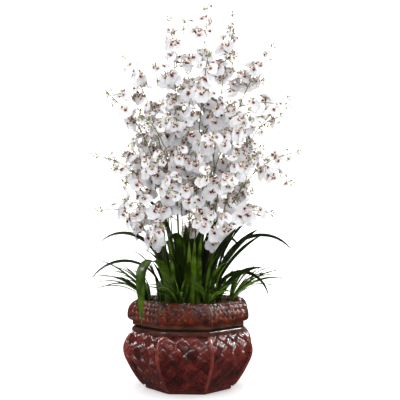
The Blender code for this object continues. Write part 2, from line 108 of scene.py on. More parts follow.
def loft_faces(count, around, loop):
    """Faces of a skin over count rings, with both ends closed unless the rings loop."""
    ring = np.arange(count if loop else count - 1)[:, None]
    side = np.arange(around)[None, :]
    after, beside = (ring + 1) % count, (side + 1) % around
    quads = [ring * around + side, ring * around + beside, after * around + beside, after * around + side]
    skin = np.stack([np.broadcast_to(q, (len(ring), around)) for q in quads], -1).reshape(-1, 4)
    if loop:
        return skin
    half = np.arange(around // 2 - 1)
    cap = np.stack([half, around - 1 - half, around - 2 - half, half + 1], -1)
    far = cap[:, ::-1] + (count - 1) * around
    return np.concatenate([skin, cap, far])


def loft_lays(rings, tone, along):
    """How far along and across each corner of a loft is."""
    middles = rings.mean(1)
    steps = np.linalg.norm(np.diff(middles, axis=0), axis=1)
    reach = np.concatenate([[0], np.cumsum(steps)]) if along is None else np.asarray(along, float)
    edges = np.linalg.norm(np.diff(rings, axis=1), axis=2)
    girth = np.concatenate([np.zeros((len(rings), 1)), np.cumsum(edges, 1)], 1)
    lays = np.empty(rings.shape)
    lays[..., 0] = reach[:, None]
    lays[..., 1] = girth
    lays[..., 2] = tone
    return lays


def volume(points, faces):
    a, b, c, d = (points[faces[:, i]] for i in range(4))
    return (np.einsum("ij,ij->i", a, np.cross(b, c)) + np.einsum("ij,ij->i", a, np.cross(c, d))).sum()


def heading(degrees):
    """The level direction at an azimuth."""
    return np.array((math.cos(math.radians(degrees)), math.sin(math.radians(degrees)), 0.0))


def out_and_aside(angle):
    """The level directions out from the axis and to its left, at an angle in radians."""
    out = np.array((math.cos(angle), math.sin(angle), 0.0))
    return out, np.array((-out[1], out[0], 0.0))


def unit(vectors):
    vectors = np.asarray(vectors, float)
    return vectors / np.maximum(np.linalg.norm(vectors, axis=-1, keepdims=True), 1e-12)


def smooth_line(points, count):
    """Points spread evenly along a smooth curve through the given points."""
    points = np.asarray(points, float)
    padded = np.concatenate([[2 * points[0] - points[1]], points, [2 * points[-1] - points[-2]]])
    share = np.linspace(0, 1, 16, endpoint=False)[:, None]
    parts = []
    for a, b, c, d in zip(padded, padded[1:], padded[2:], padded[3:]):
        curve = 2 * b + (c - a) * share + (2 * a - 5 * b + 4 * c - d) * share**2
        parts.append((curve + (3 * b - a - 3 * c + d) * share**3) / 2)
    line = np.concatenate([*parts, [points[-1]]])
    reach = np.concatenate([[0], np.cumsum(np.linalg.norm(np.diff(line, axis=0), axis=1))])
    return np.stack([np.interp(np.linspace(0, reach[-1], count), reach, column) for column in line.T], -1)


def frames_along(points, side):
    """(tangents, sides, ups) along a path, turned no more than the path turns."""
    points = np.asarray(points, float)
    tangents = unit(np.gradient(points, axis=0))
    sides = []
    for tangent in tangents:
        side = unit(side - tangent * np.dot(side, tangent))
        sides.append(side)
    sides = np.array(sides)
    return tangents, sides, np.cross(sides, tangents)


def round_rings(points, radii, around, side=(1.0, 0.02, 0.01)):
    """Round sections along a path."""
    _, sides, ups = frames_along(points, np.array(side))
    angle = np.arange(around) * math.tau / around
    radii = np.broadcast_to(radii, (len(points),))[:, None, None]
    ring = sides[:, None] * np.cos(angle)[None, :, None] + ups[:, None] * np.sin(angle)[None, :, None]
    return np.asarray(points)[:, None] + ring * radii


# ---------------------------------------------------------------- finishes


def colour(text):
    """An sRGB hex colour as linear red, green, blue and full alpha."""
    parts = [int(text[i : i + 2], 16) / 255 for i in (1, 3, 5)]
    return (*(c / 12.92 if c <= 0.04045 else ((c + 0.055) / 1.055) ** 2.4 for c in parts), 1.0)


def add(tree, kind, sockets=None, **settings):
    """Adds a node with its own settings, and values or links for its sockets. Returns its outputs."""
    made = tree.nodes.new("ShaderNode" + kind)
    for name, value in settings.items():
        setattr(made, name, value)
    for name, value in (sockets or {}).items():
        if isinstance(value, bpy.types.NodeSocket):
            tree.links.new(value, made.inputs[name])
        else:
            made.inputs[name].default_value = value
    return made.outputs


def finish(name, dress):
    """A material whose nodes are laid out by dress, which returns the sockets of its Principled BSDF."""
    made = bpy.data.materials.new(name)
    made.use_nodes = True
    tree = made.node_tree
    tree.nodes.clear()
    shader = add(tree, "BsdfPrincipled", dress(tree))
    add(tree, "OutputMaterial", {"Surface": shader[0]})
    return made


# The sockets and the setting of a Mix node for colours.
FACTOR, A, B, MIXED = 0, 6, 7, 2
COLOURS = {"data_type": "RGBA"}


def lacquered_reed(name, dark, body, bright, coat):
    """Rattan core reed, split, dyed in the bunch and lacquered.

    Each reed has its own depth of dye. Its colour is painted lighter towards the basket's shoulder and darker
    towards its foot, painted light from above. Grain runs along it in fine streaks, and the clear coat shines
    in thin lines.
    """

    def dress(tree):
        lay = add(tree, "Attribute", attribute_name="lay")["Vector"]
        tone = add(tree, "SeparateXYZ", {0: lay})[2]
        place = add(tree, "NewGeometry")["Position"]
        patch = add(tree, "TexNoise", {"Vector": place, "Scale": 1 / (30 * MM), "Detail": 2})[0]
        # Grain streaks 18 mm long and 0.5 mm wide, other ones on each reed.
        streaks = (1 / (18 * MM), 1 / (0.5 * MM), 40)
        stretch = add(tree, "VectorMath", {0: lay, 1: streaks}, operation="MULTIPLY")[0]
        grain = add(tree, "TexNoise", {"Vector": stretch, "Scale": 1.0, "Detail": 3})[0]
        height = add(tree, "SeparateXYZ", {0: place})[2]
        # Painted light and shade: lighter from 40 mm up to 115 mm high, as if lit from above, and darker
        # below.
        painted_top_light = add(tree, "MapRange", {0: height, 1: 40 * MM, 2: 115 * MM, 3: -0.10, 4: 0.08})[0]
        depth = add(tree, "Math", {0: tone, 1: 0.32, 2: painted_top_light}, operation="MULTIPLY_ADD")[0]
        depth = add(tree, "Math", {0: patch, 1: 0.5, 2: depth}, operation="MULTIPLY_ADD")[0]
        wide = add(tree, "MapRange", {0: depth, 1: 0.14, 2: 0.64})[0]
        base = add(tree, "Mix", {FACTOR: wide, A: colour(dark), B: colour(body)}, **COLOURS)[MIXED]
        lit = add(tree, "Math", {0: wide, 1: 0.35, 2: grain}, operation="MULTIPLY_ADD")[0]
        lit = add(tree, "MapRange", {0: lit, 1: 0.66, 2: 1.05})[0]
        whole = add(tree, "Mix", {FACTOR: lit, A: base, B: colour(bright)}, **COLOURS)[MIXED]
        rough = add(tree, "MapRange", {0: grain, 1: 0.3, 2: 0.7, 3: 0.14, 4: 0.26})[0]
        bump = add(tree, "Bump", {"Strength": 0.3, "Distance": 0.2 * MM, "Height": grain})[0]
        return {
            "Base Color": whole,
            "Roughness": rough,
            "Normal": bump,
            "Specular IOR Level": 0.4,
            "Coat Weight": coat,
            "Coat Roughness": 0.06,
        }

    return finish(name, dress)


def shade_painted_core(tree):
    """Pulp board behind the weave, painted almost black as the shade in the gaps between the bands: dull,
    with fibres.
    """
    place = add(tree, "NewGeometry")["Position"]
    fibre = add(tree, "TexNoise", {"Vector": place, "Scale": 1 / (3 * MM), "Detail": 4})[0]
    shade = add(tree, "Mix", {FACTOR: fibre, A: colour("#120807"), B: colour("#32140f")}, **COLOURS)[MIXED]
    bump = add(tree, "Bump", {"Strength": 0.5, "Distance": 0.5 * MM, "Height": fibre})[0]
    return {"Base Color": shade, "Roughness": 0.75, "Normal": bump}


def moulded_plastic(tree):
    """Black polypropylene, injection moulded: a dull surface with a fine spark-eroded texture."""
    place = add(tree, "NewGeometry")["Position"]
    grit = add(tree, "TexNoise", {"Vector": place, "Scale": 1 / (0.6 * MM), "Detail": 2})[0]
    rough = add(tree, "MapRange", {0: grit, 1: 0.3, 2: 0.7, 3: 0.4, 4: 0.6})[0]
    bump = add(tree, "Bump", {"Strength": 0.2, "Distance": 0.1 * MM, "Height": grit})[0]
    return {"Base Color": colour("#15161a"), "Roughness": rough, "Normal": bump}


def fir_bark(tree):
    """Fir bark chips 8 to 15 mm across: dry, brown and broken."""
    place = add(tree, "NewGeometry")["Position"]
    chips = add(tree, "TexVoronoi", {"Vector": place, "Scale": 1 / (11 * MM)})
    level = add(tree, "SeparateXYZ", {0: chips["Color"]})[0]
    fibre = add(tree, "TexNoise", {"Vector": place, "Scale": 1 / (2 * MM), "Detail": 3})[0]
    mixed = add(tree, "Math", {0: level, 1: fibre}, operation="MULTIPLY")[0]
    shade = add(tree, "Mix", {FACTOR: mixed, A: colour("#2a1a10"), B: colour("#8a6240")}, **COLOURS)[MIXED]
    bump = add(tree, "Bump", {"Strength": 0.8, "Distance": 2 * MM, "Height": chips["Distance"]})[0]
    return {"Base Color": shade, "Roughness": 0.9, "Normal": bump}


def sheet_moss(tree):
    """Dried sheet moss: matt olive fronds with brown and straw ones among them."""
    lay = add(tree, "Attribute", attribute_name="lay")["Vector"]
    tone = add(tree, "SeparateXYZ", {0: lay})[2]
    place = add(tree, "NewGeometry")["Position"]
    clumps = add(tree, "TexNoise", {"Vector": place, "Scale": 1 / (14 * MM), "Detail": 4})[0]
    fronds = add(tree, "TexNoise", {"Vector": place, "Scale": 1 / (1.6 * MM), "Detail": 3})[0]
    wide = add(tree, "MapRange", {0: clumps, 1: 0.35, 2: 0.68})[0]
    base = add(tree, "Mix", {FACTOR: wide, A: colour("#221b0d"), B: colour("#45431d")}, **COLOURS)[MIXED]
    straw = add(tree, "Math", {0: tone, 1: fronds}, operation="MULTIPLY")[0]
    straw = add(tree, "MapRange", {0: straw, 1: 0.2, 2: 0.6})[0]
    whole = add(tree, "Mix", {FACTOR: straw, A: base, B: colour("#71663a")}, **COLOURS)[MIXED]
    bump = add(tree, "Bump", {"Strength": 0.9, "Distance": 1.2 * MM, "Height": fronds})[0]
    return {"Base Color": whole, "Roughness": 0.92, "Normal": bump, "Specular IOR Level": 0.2}


def living_blade(name, deep, body, light, vein_pitch, gloss):
    """A living leaf: waxy cuticle over parallel veins, with cloudy and streaky tone."""

    def dress(tree):
        lay = add(tree, "Attribute", attribute_name="lay")["Vector"]
        parts = add(tree, "SeparateXYZ", {0: lay})
        place = add(tree, "NewGeometry")["Position"]
        cloud = add(tree, "TexNoise", {"Vector": place, "Scale": 1 / (26 * MM), "Detail": 2})[0]
        # Streaks 30 mm long and 0.9 mm wide, other ones on each blade.
        streaks = (1 / (30 * MM), 1 / (0.9 * MM), 30)
        stretch = add(tree, "VectorMath", {0: lay, 1: streaks}, operation="MULTIPLY")[0]
        streak = add(tree, "TexNoise", {"Vector": stretch, "Scale": 1.0, "Detail": 2})[0]
        turns = add(tree, "Math", {0: parts[1], 1: math.tau / vein_pitch}, operation="MULTIPLY")[0]
        vein = add(tree, "Math", {0: turns}, operation="SINE")[0]
        level = add(tree, "Math", {0: parts[2], 1: 0.8, 2: -0.35}, operation="MULTIPLY_ADD")[0]
        level = add(tree, "Math", {0: cloud, 1: level}, operation="ADD")[0]
        level = add(tree, "Math", {0: streak, 1: 0.35, 2: level}, operation="MULTIPLY_ADD")[0]
        level = add(tree, "Math", {0: vein, 1: 0.04, 2: level}, operation="MULTIPLY_ADD")[0]
        wide = add(tree, "MapRange", {0: level, 1: 0.25, 2: 0.85})[0]
        base = add(tree, "Mix", {FACTOR: wide, A: colour(deep), B: colour(body)}, **COLOURS)[MIXED]
        high = add(tree, "MapRange", {0: level, 1: 0.75, 2: 1.25})[0]
        whole = add(tree, "Mix", {FACTOR: high, A: base, B: colour(light)}, **COLOURS)[MIXED]
        rough = add(tree, "MapRange", {0: streak, 1: 0.3, 2: 0.7, 3: gloss, 4: gloss + 0.14})[0]
        relief = add(tree, "Math", {0: vein, 1: 0.5, 2: streak}, operation="MULTIPLY_ADD")[0]
        bump = add(tree, "Bump", {"Strength": 0.3, "Distance": 0.2 * MM, "Height": relief})[0]
        return {"Base Color": whole, "Roughness": rough, "Normal": bump, "Specular IOR Level": 0.25}

    return finish(name, dress)


def lip_petal(tree):
    """The flower's white lip: satin tissue with fine veins, and a pink blush and wine spots by its throat."""
    lay = add(tree, "Attribute", attribute_name="lay")["Vector"]
    parts = add(tree, "SeparateXYZ", {0: lay})
    flat = add(tree, "CombineXYZ", {0: parts[0], 1: parts[1]})[0]
    far = add(tree, "VectorMath", {0: flat}, operation="LENGTH")["Value"]
    angle = add(tree, "Math", {0: parts[0], 1: parts[1]}, operation="ARCTAN2")[0]
    turns = add(tree, "Math", {0: angle, 1: 34.0}, operation="MULTIPLY")[0]
    vein = add(tree, "Math", {0: turns}, operation="SINE")[0]
    # Each flower reads another part of the same noise through its tone.
    own = add(tree, "VectorMath", {0: lay, 1: (1, 1, 0.4)}, operation="MULTIPLY")[0]
    cloud = add(tree, "TexNoise", {"Vector": own, "Scale": 1 / (9 * MM), "Detail": 2})[0]
    spots = add(tree, "TexNoise", {"Vector": own, "Scale": 1 / (1.7 * MM), "Detail": 1})[0]
    # Painted shade: a cloud of cool grey laid over the white.
    painted_cool_shade = add(tree, "MapRange", {0: cloud, 1: 0.42, 2: 0.75, 3: 0.0, 4: 0.75})[0]
    base = add(tree, "Mix", {FACTOR: painted_cool_shade, A: colour("#f0f0f3"), B: colour("#d9dee8")}, **COLOURS)[MIXED]
    near = add(tree, "MapRange", {0: far, 1: 2.5 * MM, 2: 10 * MM, 3: 0.75, 4: 0.0})[0]
    blushed = add(tree, "Mix", {FACTOR: near, A: base, B: colour("#e6b9bd")}, **COLOURS)[MIXED]
    lines = add(tree, "MapRange", {0: vein, 1: 0.7, 2: 1.0, 3: 0.0, 4: 0.16})[0]
    veined = add(tree, "Mix", {FACTOR: lines, A: blushed, B: colour("#c9a8b4")}, **COLOURS)[MIXED]
    ring = add(tree, "MapRange", {0: far, 1: 2.2 * MM, 2: 7.5 * MM, 3: 0.28, 4: -0.15})[0]
    speck = add(tree, "Math", {0: spots, 1: ring}, operation="ADD")[0]
    speck = add(tree, "MapRange", {0: speck, 1: 0.66, 2: 0.72})[0]
    whole = add(tree, "Mix", {FACTOR: speck, A: veined, B: colour("#6e1f2b")}, **COLOURS)[MIXED]
    bump = add(tree, "Bump", {"Strength": 0.3, "Distance": 0.2 * MM, "Height": vein})[0]
    return {
        "Base Color": whole,
        "Roughness": 0.55,
        "Normal": bump,
        "Sheen Weight": 0.15,
        "Subsurface Weight": 0.6,
        "Subsurface Radius": (1.0, 0.9, 0.85),
        "Subsurface Scale": 3 * MM,
    }


def sepal_petal(tree):
    """The small upper petals and sepals: blush-white to cream tissue with wine-red blotches."""
    lay = add(tree, "Attribute", attribute_name="lay")["Vector"]
    own = add(tree, "VectorMath", {0: lay, 1: (1, 1, 0.5)}, operation="MULTIPLY")[0]
    blot = add(tree, "TexNoise", {"Vector": own, "Scale": 1 / (5.0 * MM), "Detail": 1})[0]
    cloud = add(tree, "TexNoise", {"Vector": own, "Scale": 1 / (6 * MM), "Detail": 1})[0]
    base = add(tree, "Mix", {FACTOR: cloud, A: colour("#f3e6e4"), B: colour("#d2cda8")}, **COLOURS)[MIXED]
    mark = add(tree, "MapRange", {0: blot, 1: 0.51, 2: 0.57})[0]
    whole = add(tree, "Mix", {FACTOR: mark, A: base, B: colour("#701c2e")}, **COLOURS)[MIXED]
    return {"Base Color": whole, "Roughness": 0.5, "Sheen Weight": 0.1}


def flower_heart(tree):
    """The column and callus: waxy, wine-red and warty, with amber flecks."""
    place = add(tree, "NewGeometry")["Position"]
    flecks = add(tree, "TexNoise", {"Vector": place, "Scale": 1 / (2 * MM), "Detail": 1})[0]
    mark = add(tree, "MapRange", {0: flecks, 1: 0.56, 2: 0.68})[0]
    whole = add(tree, "Mix", {FACTOR: mark, A: colour("#4a0c18"), B: colour("#9a5230")}, **COLOURS)[MIXED]
    bump = add(tree, "Bump", {"Strength": 0.4, "Distance": 0.4 * MM, "Height": flecks})[0]
    return {"Base Color": whole, "Roughness": 0.35, "Normal": bump}


def flower_stem(tree):
    """Flower stems and stalks: smooth olive skin, yellower in the thin parts, with brown flecks."""
    place = add(tree, "NewGeometry")["Position"]
    tone = add(tree, "SeparateXYZ", {0: add(tree, "Attribute", attribute_name="lay")["Vector"]})[2]
    cloud = add(tree, "TexNoise", {"Vector": place, "Scale": 1 / (12 * MM), "Detail": 2})[0]
    fleck = add(tree, "TexNoise", {"Vector": place, "Scale": 1 / (1.4 * MM), "Detail": 1})[0]
    wide = add(tree, "Math", {0: cloud, 1: 0.6, 2: -0.3}, operation="MULTIPLY_ADD")[0]
    wide = add(tree, "Math", {0: tone, 1: wide}, operation="ADD")[0]
    base = add(tree, "Mix", {FACTOR: wide, A: colour("#44521a"), B: colour("#80843a")}, **COLOURS)[MIXED]
    mark = add(tree, "MapRange", {0: fleck, 1: 0.6, 2: 0.7, 3: 0.0, 4: 0.7})[0]
    whole = add(tree, "Mix", {FACTOR: mark, A: base, B: colour("#5a3a1c")}, **COLOURS)[MIXED]
    return {"Base Color": whole, "Roughness": 0.42}


def bud_skin(tree):
    """Unopened buds: tight pale-green skin, flushed with wine at the tip."""
    lay = add(tree, "Attribute", attribute_name="lay")["Vector"]
    along = add(tree, "SeparateXYZ", {0: lay})[0]
    cloud = add(tree, "TexNoise", {"Vector": lay, "Scale": 1 / (3 * MM), "Detail": 2})[0]
    reach = add(tree, "Math", {0: along, 1: 1 / (7 * MM), 2: -0.3}, operation="MULTIPLY_ADD")[0]
    reach = add(tree, "Math", {0: cloud, 1: reach}, operation="ADD")[0]
    flush = add(tree, "MapRange", {0: reach, 1: 0.5, 2: 1.0})[0]
    whole = add(tree, "Mix", {FACTOR: flush, A: colour("#8d9748"), B: colour("#6c2834")}, **COLOURS)[MIXED]
    return {"Base Color": whole, "Roughness": 0.45}


def backdrop_paper(tree):
    """Back-lit white backdrop: matt, and glowing a little so that it stays white around the soft shadow."""
    place = add(tree, "NewGeometry")["Position"]
    tooth = add(tree, "TexNoise", {"Vector": place, "Scale": 1 / (2 * MM), "Detail": 2})[0]
    shade = add(tree, "Mix", {FACTOR: tooth, A: colour("#f4f3f1"), B: colour("#fbfaf9")}, **COLOURS)[MIXED]
    return {
        "Base Color": shade,
        "Roughness": 0.9,
        "Emission Color": colour("#ffffff"),
        "Emission Strength": 0.36,
    }


FINISHES = {
    "weave": lacquered_reed("burgundy_lacquered_reed", "#220806", "#52150f", "#94382e", 1.0),
    "rim": lacquered_reed("russet_lacquered_reed", "#100301", "#361004", "#8a300a", 0.8),
    "rib": lacquered_reed("wine_lacquered_cane", "#40140f", "#782822", "#bc6658", 1.0),
    "hoop": lacquered_reed("dark_lacquered_cane", "#1c0d09", "#3e1e13", "#664030", 0.35),
    "foot": lacquered_reed("red_lacquered_cane", "#2e0d0b", "#6a201a", "#a4463a", 0.6),
    "core": finish("shade_painted_pulp_board", shade_painted_core),
    "liner": finish("black_moulded_polypropylene", moulded_plastic),
    "bark": finish("fir_bark_chips", fir_bark),
    "moss": finish("dried_sheet_moss", sheet_moss),
    "leaf": living_blade("strap_leaf_cuticle", "#081001", "#223404", "#5e7c1a", 1.5 * MM, 0.26),
    "grass": living_blade("grass_blade_cuticle", "#0c1502", "#283e09", "#6a8a28", 0.9 * MM, 0.3),
    "bulb": living_blade("pseudobulb_skin", "#2c4a16", "#67893a", "#aeba66", 3.0 * MM, 0.32),
    "lip": finish("white_lip_petal", lip_petal),
    "sepal": finish("blotched_sepal", sepal_petal),
    "heart": finish("wine_red_callus", flower_heart),
    "stem": finish("olive_flower_stem", flower_stem),
    "bud": finish("flushed_bud_skin", bud_skin),
    "paper": finish("seamless_backdrop_paper", backdrop_paper),
}

# ---------------------------------------------------------------- the basket


def corners_of(node):
    """Every corner of a node of the frame."""
    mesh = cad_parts[node].data
    flat = np.empty(len(mesh.vertices) * 3)
    mesh.vertices.foreach_get("co", flat)
    return flat.reshape(-1, 3)


def radii_and_heights(node):
    """Each different (corner radius, height) of an octagonal node, to a hundredth of a millimetre."""
    points = corners_of(node)
    pairs = np.stack([np.hypot(points[:, 0], points[:, 1]), points[:, 2]], -1)
    return np.unique(np.round(pairs, 5), axis=0)


def outer_line(node, above):
    """The outermost corner radius at each height of an octagonal node."""
    widest = {}
    for radius, height in radii_and_heights(node):
        widest[height] = max(radius, widest.get(height, 0))
    return np.array([(widest[height], height) for height in sorted(widest) if height > above])


FOOT_TOP = 10.2 * MM
LINE_STEPS = 60
wall_points = corners_of("basket_wall")
widest_corner = wall_points[np.argmax(np.hypot(wall_points[:, 0], wall_points[:, 1]))]
FIRST_CORNER = math.atan2(widest_corner[1], widest_corner[0])


class Panels:
    """The eight flat sides of the basket along a line of (corner radius, height)."""

    def __init__(self, line, bulge=0.0):
        self.bulge = bulge
        flat = np.stack([line[:, 0] * math.cos(HALF_PANEL), line[:, 1]], -1)
        self.reach = np.concatenate([[0], np.cumsum(np.linalg.norm(np.diff(flat, axis=0), axis=1))])
        self.flat = flat
        along = unit(np.gradient(flat, axis=0))
        self.normal = np.stack([along[:, 1], -along[:, 0]], -1)
        self.length = self.reach[-1]

    def half(self, up):
        """Half the width of a side so far up its line."""
        return np.interp(up, self.reach, self.flat[:, 0]) * math.tan(HALF_PANEL)

    def place(self, number, across, up, proud):
        """Points of one side, so far across from its middle, up along its line, and proud of it."""
        out, aside = out_and_aside(FIRST_CORNER + HALF_PANEL + number * 2 * HALF_PANEL)
        radius, height, lean, rise = (
            np.interp(up, self.reach, column)
            for column in (self.flat[:, 0], self.flat[:, 1], self.normal[:, 0], self.normal[:, 1])
        )
        proud = proud + self.bulge * (1 - np.clip(np.abs(across) / self.half(up), 0, 1) ** 2)
        return (
            out * (radius + lean * proud)[..., None]
            + aside * np.asarray(across)[..., None]
            + UP * (height + rise * proud)[..., None]
        )


# Half a reed's section, as (share of its width, share of its thickness).
REED = np.array(
    [(-0.5, 0.0), (-0.45, 0.45), (-0.3, 0.8), (-0.1, 0.98), (0.1, 0.98), (0.3, 0.8), (0.45, 0.45), (0.5, 0.0)]
)


# A plait: the width of a band of reeds with the gap beside it, the number of its reeds, the gap, how thick
# the reeds are, how far they ride over and dip under, how finely they are drawn, and how far the plait stays
# inside its side's edges.
BELLY_PLAIT = {
    "band": 20.5 * MM,
    "reeds": 5,
    "gap": 2.2 * MM,
    "thick": 2.1 * MM,
    "lift": 1.7 * MM,
    "step": 3.0 * MM,
    "margin": -1.0 * MM,
}
RIM_PLAIT = {
    "band": 9.0 * MM,
    "reeds": 3,
    "gap": 0.9 * MM,
    "thick": 1.5 * MM,
    "lift": 0.9 * MM,
    "step": 1.8 * MM,
    "margin": 0.2 * MM,
}
PROBE_STEP = 0.4 * MM
SHORTEST_REED = 4 * MM
CROSSING_STEEPNESS = 2.4


def weave(panels, number, rng, band, reeds, gap, thick, lift, step, margin):
    """A plaited side: bands of reeds laid both ways at 45 degrees, over and under each other by turns."""
    work = Work()
    width = (band - gap) / reeds
    span = panels.length + 2 * panels.half(panels.reach).max()
    lanes = int(span / band) + 2
    slant = math.sqrt(0.5)
    probe = np.arange(-span, span, PROBE_STEP)
    start = rng.uniform(0, band)
    for way in (1, -1):
        for lane in range(-lanes, lanes):
            band_tone = rng.random()
            for strand in range(reeds):
                off = lane * band + gap / 2 + (strand + 0.5) * width + (start if way == 1 else 0)
                tone = 0.65 * band_tone + 0.35 * rng.random()
                across, up = (probe - way * off) * slant, (way * probe + off) * slant
                inside = (up > 0) & (up < panels.length) & (np.abs(across) < panels.half(up) - margin)
                if inside.sum() * PROBE_STEP < SHORTEST_REED:
                    continue
                first, last = probe[inside][0], probe[inside][-1]
                s = np.linspace(first, last, max(4, round((last - first) / step)))
                crossing = s if way == 1 else s + start
                wave = np.sin(math.pi * crossing / band) * (-1) ** lane
                height = lift * np.tanh(CROSSING_STEEPNESS * wave) / math.tanh(CROSSING_STEEPNESS)
                side = off + REED[None, :, 0] * width * 0.98
                run = s[:, None]
                u, v = (run - way * side) * slant, (way * run + side) * slant
                proud = 0.3 * MM + height[:, None] + REED[None, :, 1] * thick
                rings = panels.place(number, u, v, proud)
                work.add_solid(rings, tone, along=s + 0.37 * lane + 0.11 * strand)
    return work


def smooth_hoop(node, finish_name, bow):
    """A cane band bent round the octagon, with rounded corners and a bowed face."""
    pairs = radii_and_heights(node)
    inner, outer = pairs[:, 0].min(), pairs[:, 0].max()
    low, high = pairs[:, 1].min(), pairs[:, 1].max()
    middle, half = (low + high) / 2, (high - low) / 2
    seat = inner + 1.2 * MM
    section = []
    for angle in np.linspace(-math.pi / 2, math.pi / 2, 14):
        reach = abs(math.cos(angle)) ** bow
        section.append((seat + (outer - seat) * reach, middle + half * math.sin(angle)))
    # Sections along one side, as shares of half its width. Those about 1 turn the corner.
    shares = [*np.linspace(-1, 1, 9)[1:-1] * 0.93, 0.965, 1.0, 1.035]
    rings = []
    for number in range(SIDES):
        angle = FIRST_CORNER + HALF_PANEL + number * 2 * HALF_PANEL
        out, aside = out_and_aside(angle)
        next_out, next_aside = out_and_aside(angle + 2 * HALF_PANEL)
        for share in shares:
            ring = []
            for radius, height in section:
                flat = radius * math.cos(HALF_PANEL)
                reach = radius * math.sin(HALF_PANEL) * min(share, 1.0)
                point = out * flat + aside * reach
                if share > 1:
                    point = next_out * flat - next_aside * radius * math.sin(HALF_PANEL) * (2 - share)
                near = max(0.0, 1 - abs(abs(share) - 1) / 0.05)
                ring.append(point * (1 - 0.004 * near) + UP * height)
            rings.append(ring)
    work = Work()
    work.add_solid(rings, 0.5, loop=True)
    work.make(node + "_cane", [FINISHES[finish_name]], "cane", node)


def corner_cane(number, line, replaced, name, finish_name, width, height, sink, rng):
    """A half-round cane laid over one corner of the basket."""
    out, aside = out_and_aside(FIRST_CORNER + number * 2 * HALF_PANEL)
    along = unit(np.gradient(line, axis=0))
    rings = []
    for (radius, level), (lean, rise) in zip(line, along):
        normal = out * rise - UP * lean
        base = out * radius + UP * level - normal * sink
        ring = []
        for turn in np.linspace(0, math.pi, 10):
            over = aside * (math.cos(turn) * width / 2)
            ring.append(base + over + normal * (max(0.0, math.sin(turn)) ** 0.8 * height))
        rings.append(ring)
    work = Work()
    work.add_solid(rings, rng.uniform(0.35, 0.75))
    work.make(name, [FINISHES[finish_name]], "cane", *replaced)


def rim_line(count):
    """A line from the rim's foot round its outside, as (corner radius, height)."""
    section = radii_and_heights("basket_rim")
    centre = section.mean(0)
    order = np.argsort(np.arctan2(section[:, 1] - centre[1], section[:, 0] - centre[0]))
    section = section[order]
    lowest = np.argmin(section[:, 1] * 10 - section[:, 0])
    section = np.roll(section, -lowest, axis=0)
    return smooth_line(section[:-1], count)


def make_basket():
    rng = random.Random(5)
    wall = outer_line("basket_wall", FOOT_TOP)
    belly = smooth_line(wall[:-1], LINE_STEPS)
    belly_panels = Panels(belly, bulge=1.0 * MM)
    rim = rim_line(LINE_STEPS)
    rim_panels = Panels(rim)
    for number in range(SIDES):
        mark = number + 1
        work = weave(belly_panels, number, rng, **BELLY_PLAIT)
        work.make(f"wall_weave_{mark}", [FINISHES["weave"]], "wicker")
        work = weave(rim_panels, number, rng, **RIM_PLAIT)
        work.make(f"rim_weave_{mark}", [FINISHES["rim"]], "wicker")
        size = (7.8 * MM, 6.2 * MM, 0.6 * MM)
        corner_cane(number, belly, [f"corner_rib_{mark}"], f"corner_cane_{mark}", "rib", *size, rng)
        size = (6.0 * MM, 3.8 * MM, 0.5 * MM)
        corner_cane(number, rim[4:-3], [], f"rim_corner_strap_{mark}", "hoop", *size, rng)
    smooth_hoop("rim_hoop_upper", "hoop", 0.5)
    smooth_hoop("rim_hoop_lower", "hoop", 0.5)
    smooth_hoop("foot_hoop", "foot", 0.45)
    for node, name in (
        ("basket_wall", "core"),
        ("basket_rim", "core"),
        ("plastic_liner", "liner"),
        ("potting_bark", "bark"),
    ):
        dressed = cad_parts[node]
        for place in dressed.material_slots:
            place.material = FINISHES[name]


# ---------------------------------------------------------------- moss and bulbs

MOSS_EDGE_LEVEL = 0.1725
FRONDS = 2600


def octagon_reach(angle, radius):
    """How far out an octagon of that corner radius is at an angle."""
    offset = (angle - FIRST_CORNER) % (2 * HALF_PANEL) - HALF_PANEL
    return radius * math.cos(HALF_PANEL) / math.cos(offset)


def moss_level(x, y, edge):
    """The height of the moss: a low mound with hummocks."""
    mound = 8.5 * MM * (1 - min(1.0, (math.hypot(x, y) / edge) ** 2.4))
    hummocks = noise.fractal(Vector((x, y, 0.3)) / (16 * MM), 1.0, 2.0, 3)
    return MOSS_EDGE_LEVEL + mound + hummocks * 2.4 * MM


def make_moss():
    floor_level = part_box("moss_cover")[0].z
    edge = radii_and_heights("moss_cover")[:, 0].max() - 0.3 * MM
    rings = []
    around = 160
    angles = [i * math.tau / around for i in range(around)]
    for share in np.linspace(0.015, 1, 46):
        ring = []
        for angle in angles:
            reach = octagon_reach(angle, edge) * share
            x, y = reach * math.cos(angle), reach * math.sin(angle)
            drop = 5 * MM * max(0.0, (share - 0.95) / 0.05) ** 2
            ring.append((x, y, moss_level(x, y, edge) - drop))
        rings.append(ring)
    for share in (1.0, 0.015):
        ring = []
        for angle in angles:
            reach = octagon_reach(angle, edge) * share
            ring.append((reach * math.cos(angle), reach * math.sin(angle), floor_level))
        rings.append(ring)
    work = Work()
    work.add_solid(rings, 0.35)
    rng = np.random.default_rng(3)
    for _ in range(FRONDS):
        reach, angle = math.sqrt(rng.random()), rng.random() * math.tau
        reach *= octagon_reach(angle, edge) * 0.985
        x, y = reach * math.cos(angle), reach * math.sin(angle)
        root = np.array((x, y, moss_level(x, y, edge) - 0.5 * MM))
        out = heading(rng.random() * 360)
        size = rng.uniform(3, 8) * MM
        half = rng.uniform(0.25, 0.5) * MM
        aside = np.cross(out, UP)
        rings = []
        for share, taper in ((0, 1), (0.35, 1.2), (0.7, 0.9), (1, 0.3)):
            rise = UP * (share * 0.55 - 0.35 * share * share)
            middle = root + (rise + out * share * (0.6 + 0.5 * share)) * size
            edge_left, edge_right = middle - aside * half * taper, middle + aside * half * taper
            rings.append([edge_left, edge_right, edge_right - UP * 0.2 * MM, edge_left - UP * 0.2 * MM])
        work.add_solid(rings, rng.random())
    work.make("moss_mound", [FINISHES["moss"]], "moss", "moss_cover")


